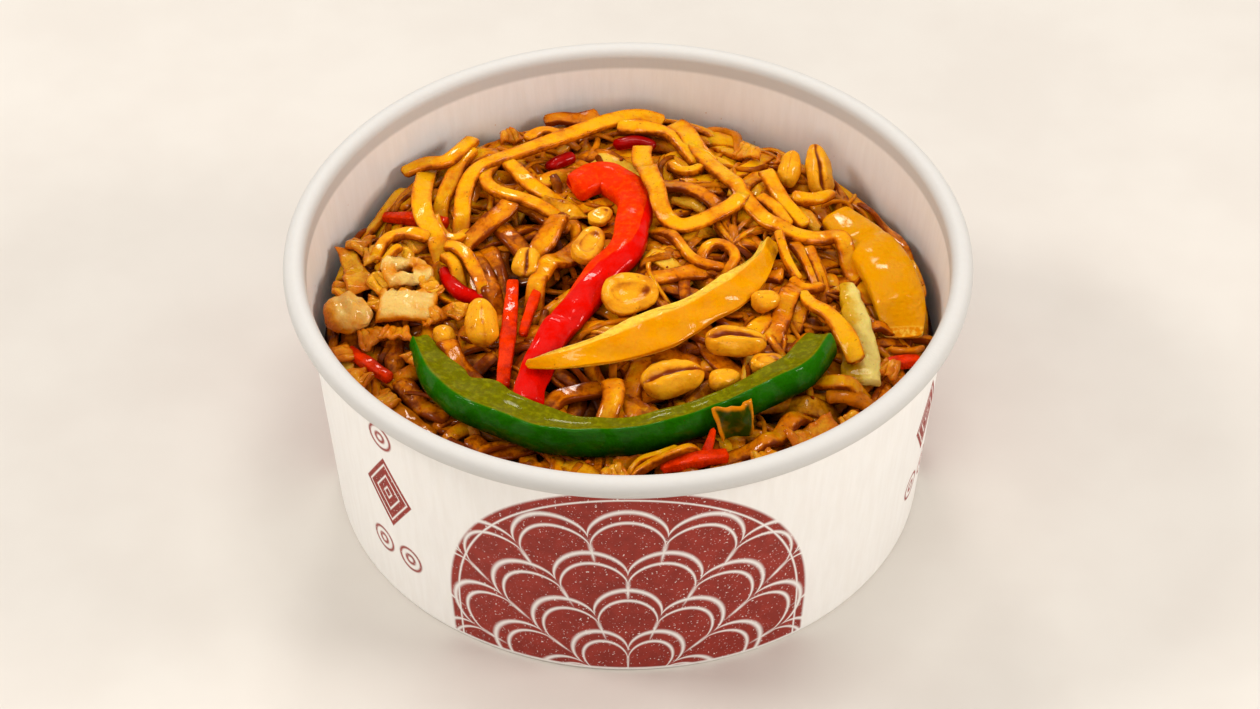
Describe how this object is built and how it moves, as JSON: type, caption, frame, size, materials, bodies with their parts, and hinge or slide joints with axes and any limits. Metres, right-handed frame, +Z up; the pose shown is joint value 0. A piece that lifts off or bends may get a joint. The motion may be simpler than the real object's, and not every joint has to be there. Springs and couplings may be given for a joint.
{
  "type": "noodle takeaway bowl",
  "caption": "Round white paper takeaway bowl with a rolled rim, filled with stir-fried flat noodles, pepper strips, carrot, peanuts and cabbage; it stands on its foot ring.",
  "frame": {"origin": "middle of the bowl's foot, on the surface that the bowl stands on", "axes": "+Z up, -Y towards the diner (the printed front), +X to the diner's right"},
  "size_m": [0.15, 0.15, 0.064],
  "materials": {
    "paper": "white paper board, satin food-safe lining inside, brick red print outside",
    "noodle": "cooked wheat noodle glazed with thin brown sauce, glossy",
    "green_pepper": "wet green pepper skin with a yellow-green cut face, glossy",
    "red_pepper": "wet red pepper skin with an orange cut face, glossy",
    "yellow_pepper": "wet yellow pepper skin with pale ribs, glossy",
    "carrot": "cooked carrot stick, moist",
    "peanut": "roasted peanut in thin sauce, satin",
    "cabbage": "cooked white cabbage, sauce at its edges, moist",
    "onion": "soft fried onion, brown and glassy",
    "leek": "soft dark green leaf with amber edges"
  },
  "bodies": {
    "root": {"bowl_base": "paper", "bowl_sidewall": "paper", "cabbage_leaf_front": "cabbage", "cabbage_leaf_left": "cabbage", "cabbage_lump": "cabbage", "cabbage_rib": "cabbage", "cabbage_ring": "cabbage", "cabbage_sliver_back": "cabbage", "cabbage_stalk": "cabbage", "cabbage_strip_right": "cabbage", "carrot_stick_edge": "carrot", "carrot_stick_front": "carrot", "carrot_stick_left": "carrot", "carrot_stick_long": "carrot", "carrot_stick_right": "carrot", "carrot_stick_short": "carrot", "green_pepper_strip": "green_pepper", "leek_leaf": "leek", "noodle_heap": "noodle", "onion_curl_front": "onion", "onion_curl_low": "onion", "onion_curl_right": "onion", "onion_piece_right": "onion", "peanut_1": "peanut", "peanut_10": "peanut", "peanut_11": "peanut", "peanut_12": "peanut", "peanut_13": "peanut", "peanut_2": "peanut", "peanut_3": "peanut", "peanut_4": "peanut", "peanut_5": "peanut", "peanut_6": "peanut", "peanut_7": "peanut", "peanut_8": "peanut", "peanut_9": "peanut", "red_pepper_bit_back": "red_pepper", "red_pepper_bit_far": "red_pepper", "red_pepper_curl": "red_pepper", "red_pepper_strip": "red_pepper", "yellow_pepper_slab": "yellow_pepper", "yellow_pepper_strip": "yellow_pepper"}
  },
  "joints": []
}
